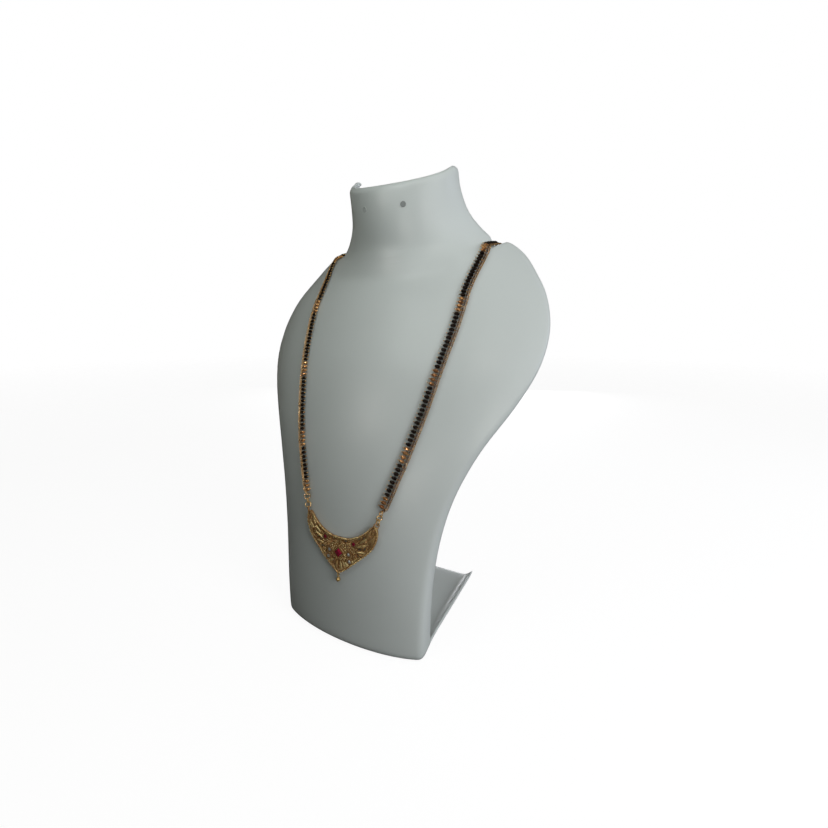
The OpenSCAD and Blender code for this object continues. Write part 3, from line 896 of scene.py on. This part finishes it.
# The plate's edge on the right, from the middle of its upper side round its tip to its foot, and
# what stands on its face there, in millimetres from the ruby's middle.
EDGE = (
    (0.0, 9.9), (4.5, 10.0), (8.6, 10.9), (13.0, 12.8), (16.8, 15.2), (19.7, 17.9), (21.8, 20.4),
    (23.8, 21.6), (25.4, 20.3), (26.2, 16.8), (25.6, 12.4), (23.4, 7.2), (19.6, 2.8), (15.4, -1.0),
    (11.6, -4.6), (8.6, -7.2), (6.1, -9.6), (3.6, -11.5), (1.4, -12.8), (0.0, -13.2))
PETALS = (
    (1.2, -6.0, 5.2, -78), (2.6, -5.2, 6.2, -58), (4.6, -5.6, 5.0, -44), (9.4, -3.6, 4.0, -52),
    (10.8, -2.6, 4.4, -34), (12.4, 3.0, 5.4, 4), (13.0, 6.2, 6.4, 22), (14.6, 9.0, 6.0, 40),
    (19.0, 13.0, 6.0, 62), (22.2, 9.4, 6.0, 72), (20.2, 10.6, 5.0, 40))
GAPS = (
    (3.2, 7.6, 2.8, 20), (12.9, 10.6, 2.6, 40), (16.2, 11.2, 3.0, 50), (20.0, 15.4, 2.8, 58),
    (22.6, 17.8, 2.4, 66), (23.4, 12.6, 2.8, 76), (13.2, 4.4, 3.2, 20), (16.8, 4.6, 3.0, 48),
    (20.4, 7.6, 2.8, 60), (12.0, 1.2, 3.0, -20), (3.6, -5.4, 2.8, -40), (2.0, -8.2, 2.6, -60),
    (9.9, -2.6, 2.0, -35), (4.6, 3.4, 1.6, 80))
BOSSES = (
    (11.6, -0.7, 1.8), (18.8, 10.6, 1.9), (21.2, 14.6, 1.9), (23.5, 18.7, 1.8), (15.0, 1.8, 1.6),
    (16.6, 7.6, 1.6), (2.4, 6.6, 1.4), (4.6, -9.2, 1.4), (1.5, -10.9, 1.4), (19.0, 4.9, 1.5))
ROSETTE = (6.9, 4.9)
ROUND_SEATS = ((10.6, 7.7), (7.1, 0.1), (7.9, -4.4))
# Width of the raised rim, half the diagonal of the square of grains round the ruby, what a petal
# is scaled by, and the sizes of the filling with the places that are tried for each.
RIM = 1.35
RUBY_SQUARE = 4.2
PETAL_SCALE = (1.14, 1.55, 1.5)
FILLING = ((0.74, 1200), (0.5, 1200), (0.34, 1200), (0.24, 900))


def on_plate(x, z, height=0.0, turn=0.0, size=1.0):
    """A matrix that stands a copy on the plate's front, facing out; places in millimetres."""
    x, z = x * MM, z * MM
    back = PLATE_BEND - math.sqrt(PLATE_BEND * PLATE_BEND - x * x)
    return (
        Matrix.Translation(SEAT) @ Matrix.Rotation(-LEAN, 4, "X") @ Matrix.Translation((x, back, z))
        @ Matrix.Rotation(math.asin(x / PLATE_BEND), 4, "Z") @ Matrix.Rotation(math.pi / 2, 4, "X")
        @ Matrix.Translation((0, 0, PLATE + height * MM)) @ Matrix.Rotation(turn, 4, "Z")
        @ Matrix.Scale(size, 4))


def whole_edge():
    """The edge all the way round, as corners of a closed line."""
    return np.array([*EDGE, *((-x, z) for x, z in EDGE[-2:0:-1])])


def along_edge(inset, pitch):
    """Places a pitch apart on the line that lies so far inside the edge."""
    corners = whole_edge()
    # Each stretch is divided into twelve, and the corners are rounded off by averaging.
    fine = np.concatenate([
        a + np.linspace(0, 1, 12, endpoint=False)[:, None] * (b - a)
        for a, b in zip(corners, np.roll(corners, -1, axis=0))])
    for _ in range(10):
        fine = (np.roll(fine, 1, axis=0) + 2 * fine + np.roll(fine, -1, axis=0)) / 4
    way = np.roll(fine, -1, axis=0) - np.roll(fine, 1, axis=0)
    way /= np.linalg.norm(way, axis=1)[:, None]
    line = fine + inset * np.stack([way[:, 1], -way[:, 0]], axis=1)
    closed = np.vstack([line, line[:1]])
    lengths = lengths_along(closed)
    count = round(lengths[-1] / pitch)
    steps = np.linspace(0, lengths[-1], count, endpoint=False)
    return np.stack([np.interp(steps, lengths, closed[:, i]) for i in (0, 1)], axis=1)


def both(places):
    """The places on the right, and the same ones on the left."""
    return [*places, *((-place[0], *place[1:]) for place in places)]


def segment(x, z, length, degrees):
    """Both ends of something that lies on the plate from a place in a direction."""
    turn = math.radians(degrees)
    return np.array((x, z)), np.array((x + length * math.cos(turn), z + length * math.sin(turn)))


def room_at(point, lines, edge):
    """How far a place is from everything that stands on the plate and from its edge."""
    if not inside(point, edge):
        return -1.0
    room = edge_distance(point, edge) - RIM
    for a, b, reach in lines:
        span = b - a
        f = min(max(float((point - a) @ span) / max(float(span @ span), 1e-9), 0.0), 1.0)
        room = min(room, float(np.linalg.norm(a + f * span - point)) - reach)
    return room


def inside(point, edge):
    """Whether a place lies within a closed line."""
    after = np.roll(edge, -1, axis=0)
    crosses = (edge[:, 1] > point[1]) != (after[:, 1] > point[1])
    rise = np.where(after[:, 1] == edge[:, 1], 1, after[:, 1] - edge[:, 1])
    at = edge[:, 0] + (point[1] - edge[:, 1]) * (after[:, 0] - edge[:, 0]) / rise
    return bool((crosses & (point[0] < at)).sum() % 2)


def edge_distance(point, edge):
    """Distance from a place to a closed line."""
    span = np.roll(edge, -1, axis=0) - edge
    f = np.clip(((point - edge) * span).sum(1) / (span * span).sum(1), 0, 1)
    return float(np.linalg.norm(edge + f[:, None] * span - point, axis=1).min())


def grain_model():
    """A round grain of gold, one millimetre wide, sunk a little into what it sits on."""
    bpy.ops.mesh.primitive_uv_sphere_add(segments=8, ring_count=6, radius=0.5 * MM)
    grain = bpy.context.object
    bpy.ops.object.mode_set(mode="EDIT")
    cut_off(-0.2 * MM, -1)
    bpy.ops.object.mode_set(mode="OBJECT")
    bpy.ops.object.shade_smooth()
    return grain


def petal_model():
    """A domed petal one millimetre long with a groove down its middle."""
    bpy.ops.mesh.primitive_uv_sphere_add(
        segments=12, ring_count=8, radius=0.5 * MM, rotation=(0, math.pi / 2, 0))
    petal = bpy.context.object
    bpy.ops.object.transform_apply(rotation=True)
    bpy.ops.object.mode_set(mode="EDIT")
    cut_off(0, -1)
    picked(lambda v: v.co.z > 0.42 * MM and abs(v.co.x) < 0.3 * MM
           and abs(v.co.y) < 0.1 * MM, "VERT")
    bpy.ops.transform.translate(value=(0, 0, -0.12 * MM))
    bpy.ops.object.mode_set(mode="OBJECT")
    bpy.ops.object.shade_smooth_by_angle(angle=math.radians(60))
    return petal


def loop_model():
    """A small round loop of wire, one and a third millimetres wide."""
    bpy.ops.mesh.primitive_torus_add(
        major_segments=12, minor_segments=6, major_radius=0.5 * MM, minor_radius=0.15 * MM)
    loop = bpy.context.object
    bpy.ops.object.shade_smooth()
    return loop


class MANGALSUTRA_OT_pendant(bpy.types.Operator):
    """Finish the pierced plate and set grains, petals and loops of wire on it"""

    bl_idname = "mangalsutra.pendant"
    bl_label = "Pendant"

    def execute(self, context):
        look = context.scene.pendant_look
        antique = antique_gold("antique_gold", look, shade(look.colour, 0.5), look.colour)
        raised = antique_gold("raised_gold", look, shade(look.colour, 0.55), look.bright)
        plate = merged_copy("pendant_plate", "pierced_plate")
        bpy.ops.object.shade_smooth_by_angle(angle=math.radians(30))
        seated(plate, "pierced_plate", "gold", antique, "pendant_plate")
        rng = random.Random("pendant")
        grain, petal, loop = grain_model(), petal_model(), loop_model()
        self.lay(grain, self.grains(look), "pendant_grains", raised, rng)
        self.lay(petal, self.petals(), "pendant_petals", raised, rng)
        loops, filling = self.filling(rng)
        self.lay(loop, loops, "pendant_loops", raised, rng)
        self.lay(grain, filling, "pendant_filling", raised, rng)
        scrap(grain, petal, loop)
        return {"FINISHED"}

    def lay(self, model, places, name, material, rng):
        """Sets a small model out on the plate and finishes it in gold."""
        piece = set_out(model, places, name, [rng.random() for _ in places])
        seated(piece, name, "gold", material)

    def grains(self, look):
        """Rows of grains on the rim and inside it, and rings of them round what is set."""
        size = look.grain / MM
        rows = []
        # Large and small grains by turns on the rim, and a line of fine ones inside it.
        for n, (x, z) in enumerate(along_edge(0.2, 0.86 * size)):
            rows.append(on_plate(x, z, 0.42, 0, size * (0.65 if n % 2 else 1)))
        rows += [on_plate(x, z, 0.05, 0, 0.6) for x, z in along_edge(1.15, 0.8)]
        for x, z in both(ROUND_SEATS):
            rows += self.ring(x, z, 2.25, 15, 0.0, 0.62)
        for x, z, wide in both(BOSSES):
            radius = wide / 2 + 0.28
            rows += self.ring(x, z, radius, round(6.3 * radius / 0.52), 0.0, 0.48)
            rows.append(on_plate(x, z, wide / 2 - 0.1, 0, 0.5))
        for x, z in both([ROSETTE]):
            rows.append(on_plate(x, z, 0.62, 0, 0.7))
            rows += self.ring(x, z, 0.95, 9, 0.2, 0.45)
        # Three large grains at the foot, and the square of grains round the ruby.
        rows += [on_plate(x, z, 0.5, 0, 1.5) for x, z in ((-0.9, -12.6), (0.9, -12.6), (0, -11.6))]
        for turn in range(4):
            for f in np.linspace(0, 1, 8, endpoint=False):
                a, b = (math.pi / 2 * (turn + k) for k in (0, 1))
                x = RUBY_SQUARE * ((1 - f) * math.cos(a) + f * math.cos(b))
                z = RUBY_SQUARE * ((1 - f) * math.sin(a) + f * math.sin(b))
                rows.append(on_plate(x, z, 0.0, 0, 0.7))
        return rows

    def ring(self, x, z, radius, count, height, size):
        """Places evenly round a circle on the plate."""
        turns = [2 * math.pi * n / count for n in range(count)]
        return [
            on_plate(x + radius * math.cos(t), z + radius * math.sin(t), height, 0, size)
            for t in turns]

    def petals(self):
        """A grooved petal over every rib, and a ring of short ones round each rosette."""
        rows = []
        edge = whole_edge()
        wider, across, high = PETAL_SCALE
        for x, z, length, degrees in PETALS:
            a, b = segment(x, z, length, degrees)
            # A petal that would reach onto the rim is shortened.
            while not inside(b, edge) or edge_distance(b, edge) < 0.95:
                b += (a - b) * 0.04
            mid, length = (a + b) / 2, float(np.linalg.norm(b - a))
            shape = Matrix.Diagonal((wider * length, across, high, 1))
            rows.append(on_plate(*mid, -0.02, math.radians(degrees)) @ shape)
            rows.append(on_plate(-mid[0], mid[1], -0.02, math.radians(180 - degrees)) @ shape)
        for x, z in both([ROSETTE]):
            for n in range(9):
                t = 2 * math.pi * n / 9
                rows.append(
                    on_plate(x + 2.3 * math.cos(t), z + 2.3 * math.sin(t), 0, t)
                    @ Matrix.Diagonal((1.3, 0.95, 1.1, 1)))
        return rows

    def standing(self):
        """What stands on the plate or pierces it on the right: two ends and its reach sideways."""
        lines = [(*segment(*petal), 0.75) for petal in PETALS]
        lines += [(*segment(*gap), 0.45) for gap in GAPS]
        spots = [((x, z), wide / 2 + 0.5) for x, z, wide in BOSSES]
        spots += [(seat, 2.55) for seat in ROUND_SEATS]
        spots += [(ROSETTE, 2.9), ((0.0, 0.0), 3.4)]
        lines += [(np.array(spot), np.array(spot), reach) for spot, reach in spots]
        for z in (RUBY_SQUARE, -RUBY_SQUARE):
            lines.append((np.array((0.0, z)), np.array((RUBY_SQUARE, 0.0)), 0.4))
        return lines

    def filling(self, rng):
        """Loops of wire with a grain in each, and loose grains, where there is room for them."""
        edge, lines = whole_edge(), self.standing()
        loops, grains = [], []
        for reach, tries in FILLING:
            for _ in range(tries):
                point = np.array((rng.uniform(0.3, 26.0), rng.uniform(-13.0, 21.5)))
                if point[0] < reach or room_at(point, lines, edge) < reach:
                    continue
                lines.append((point, point, reach))
                for x, z in both([tuple(point)]):
                    if reach > 0.7:
                        loops.append(on_plate(x, z, 0.1))
                        grains.append(on_plate(x, z, 0.15, 0, 0.9))
                    else:
                        grains.append(on_plate(x, z, 0.0, 0, 2 * reach))
        return loops, grains


class MANGALSUTRA_OT_stones(bpy.types.Operator):
    """Cut and set the rubies and the white stones"""

    bl_idname = "mangalsutra.stones"
    bl_label = "Stones"

    def execute(self, context):
        look = context.scene.pendant_look
        ruby = cut_stone("ruby", look.ruby, 1.77, 0.2)
        # The white stones are tinted warm as a painted reflection of the gold round them.
        white = cut_stone("white_stone", CLEAR_WHITE, 2.2, 0.65)
        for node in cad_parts:
            for slot, stone in (("ruby", ruby), ("white_stone", white)):
                if slot in node:
                    piece = merged_copy(node, f"cut_{node}")
                    bpy.ops.object.shade_flat()
                    seated(piece, f"cut_{node}", slot, stone, node)
        return {"FINISHED"}


# The stage


# What the object reflects of the room: a warm dim wall on the left and a cool one on the right.
WARM_WALL = (0.062, 0.050, 0.034)
COOL_WALL = (0.082, 0.090, 0.096)
WALLS_FROM, WALLS_TO = -0.8, 0.9
# The floor, which the camera sees nearly white, and between what radii it fades out.
FLOOR_RADIUS = 2.5
FLOOR_GLOW = 0.93
FADE_FROM, FADE_TO = 0.6, 2.3
# Each lamp's place, what it is turned to, its width and height, and its colour.
CHEST = (0, 0, 0.15)
LAMPS = {
    "key": ((0.80, -0.28, 0.42), CHEST, (0.45, 0.5), (0.98, 0.99, 1.0)),
    "top": ((0.1, -0.15, 1.15), CHEST, (0.5, 0.5), (0.97, 1.0, 1.0)),
    "fill": ((-0.03, -0.20, 0.42), (0, 0, 0.26), (0.16, 0.16), (0.94, 1.0, 0.97)),
    "rim": ((0.72, 0.4, 0.2), CHEST, (0.2, 0.5), (0.78, 0.82, 1.0)),
    "back": ((-0.35, 0.9, 0.11), CHEST, (0.8, 0.18), (0.95, 0.96, 1.0)),
}
# Where the small lamps stand that glint on metal and stones, and what they are turned to.
SPARKLE = ((0.42, -0.52, 0.72), (-0.3, -0.62, 0.42), (0.62, -0.5, 0.22), (0.12, -0.7, 0.12))
PENDANT = (0, -0.03, 0.1)
# Width of the camera's sensor, in millimetres.
SENSOR = 36


class MANGALSUTRA_OT_stage(bpy.types.Operator):
    """Set up the floor, the studio light and the camera"""

    bl_idname = "mangalsutra.stage"
    bl_label = "Stage"

    def execute(self, context):
        look = context.scene.stage_look
        self.floor()
        self.surroundings(context)
        for name, (place, aim, size, colour) in LAMPS.items():
            lamp = self.lamp(name, place, aim, size, getattr(look, name), colour)
            # The metal on the near side stays dark against the lit sheet.
            lamp.visible_glossy = name != "key"
        for n, place in enumerate(SPARKLE):
            small = self.lamp(
                f"sparkle_{n}", place, PENDANT, (0.09, 0.09), look.sparkle, (1.0, 0.97, 0.92))
            small.visible_diffuse = False
        self.camera(context, look)
        context.scene.view_settings.view_transform = "Standard"
        return {"FINISHED"}

    def floor(self):
        """A wide pale disc that fades out into the white behind it."""
        bpy.ops.mesh.primitive_circle_add(vertices=96, radius=FLOOR_RADIUS, fill_type="NGON")
        floor = bpy.context.object
        floor.name = "floor"
        material = bpy.data.materials.new("pale_floor")
        material.use_nodes = True
        nodes = material.node_tree.nodes
        seen = add_node(nodes, "LightPath").outputs["Is Camera Ray"]
        glow = add_node(nodes, "MapRange", Value=seen, To_Max=FLOOR_GLOW)
        far = add_node(
            nodes, "VectorMath", Vector=add_node(nodes, "TexCoord").outputs["Object"])
        far.operation = "LENGTH"
        fade = add_node(
            nodes, "MapRange", Value=far.outputs["Value"], From_Min=FADE_FROM, From_Max=FADE_TO,
            To_Min=1, To_Max=0)
        set_sockets(
            nodes["Principled BSDF"], Base_Color=(0.12, 0.12, 0.12, 1), Roughness=0.9,
            Specular_IOR_Level=0.1, Emission_Color=(1, 1, 1, 1),
            Emission_Strength=glow.outputs["Result"], Alpha=fade.outputs["Result"])
        floor.data.materials.append(material)

    def surroundings(self, context):
        """White behind the object, and a dim room for everything that it reflects."""
        world = bpy.data.worlds.new("studio")
        context.scene.world = world
        world.use_nodes = True
        nodes, links = world.node_tree.nodes, world.node_tree.links
        way = add_node(nodes, "TexCoord").outputs["Generated"]
        split = add_node(nodes, "SeparateXYZ", Vector=way)
        side = add_node(
            nodes, "MapRange", Value=split.outputs["X"], From_Min=WALLS_FROM, From_Max=WALLS_TO)
        room = nodes["Background"]
        walls = add_blend(nodes, side.outputs["Result"], WARM_WALL, COOL_WALL)
        set_sockets(room, Color=walls, Strength=1.0)
        backdrop = add_node(nodes, "Background", Color=(1, 1, 1, 1), Strength=1.0)
        seen = add_node(nodes, "LightPath").outputs["Is Camera Ray"]
        either = add_node(nodes, "MixShader", Fac=seen)
        links.new(room.outputs[0], either.inputs[1])
        links.new(backdrop.outputs[0], either.inputs[2])
        links.new(either.outputs[0], nodes["World Output"].inputs["Surface"])

    def lamp(self, name, place, aim, size, power, colour):
        """A flat lamp at a place, turned to what it lights."""
        light = bpy.data.lights.new(name, "AREA")
        light.shape = "RECTANGLE"
        light.size, light.size_y = size
        light.energy = power
        light.color = colour
        lamp = bpy.data.objects.new(name, light)
        lamp.location = place
        lamp.rotation_euler = (Vector(aim) - Vector(place)).to_track_quat("-Z", "Y").to_euler()
        bpy.context.scene.collection.objects.link(lamp)
        return lamp

    def camera(self, context, look):
        """The camera at the viewing angle of the photograph."""
        data = bpy.data.cameras.new("camera")
        data.sensor_width = SENSOR
        data.lens = SENSOR * look.lens
        data.clip_start, data.clip_end = 0.01, 20
        camera = bpy.data.objects.new("camera", data)
        camera.location = look.place
        camera.rotation_euler = (math.pi / 2 - look.pitch, 0, look.azimuth)
        context.scene.collection.objects.link(camera)
        context.scene.camera = camera


class MANGALSUTRA_PT_panel(bpy.types.Panel):
    """Lists the pieces and their looks"""

    bl_label = "Mangalsutra"
    bl_idname = "MANGALSUTRA_PT_panel"
    bl_space_type = "VIEW_3D"
    bl_region_type = "UI"
    bl_category = "Mangalsutra"

    def draw(self, context):
        for operator in OPERATORS:
            self.layout.operator(operator.bl_idname)
        for name, look in LOOKS.items():
            box = self.layout.box()
            box.label(text=look.__doc__)
            for prop in look.__annotations__:
                box.prop(getattr(context.scene, name), prop)


OPERATORS = (
    MANGALSUTRA_OT_neck_bust,
    MANGALSUTRA_OT_strands,
    MANGALSUTRA_OT_rings,
    MANGALSUTRA_OT_pendant,
    MANGALSUTRA_OT_stones,
    MANGALSUTRA_OT_stage,
)


def register():
    for cls in (*LOOKS.values(), *OPERATORS, MANGALSUTRA_PT_panel):
        bpy.utils.register_class(cls)
    for name, look in LOOKS.items():
        setattr(bpy.types.Scene, name, PointerProperty(type=look))


def unregister():
    for name in LOOKS:
        delattr(bpy.types.Scene, name)
    for cls in reversed((*LOOKS.values(), *OPERATORS, MANGALSUTRA_PT_panel)):
        bpy.utils.unregister_class(cls)


def main():
    register()
    for operator in OPERATORS:
        group, name = operator.bl_idname.split(".")
        getattr(getattr(bpy.ops, group), name)()


if __name__ == "__main__":
    main()
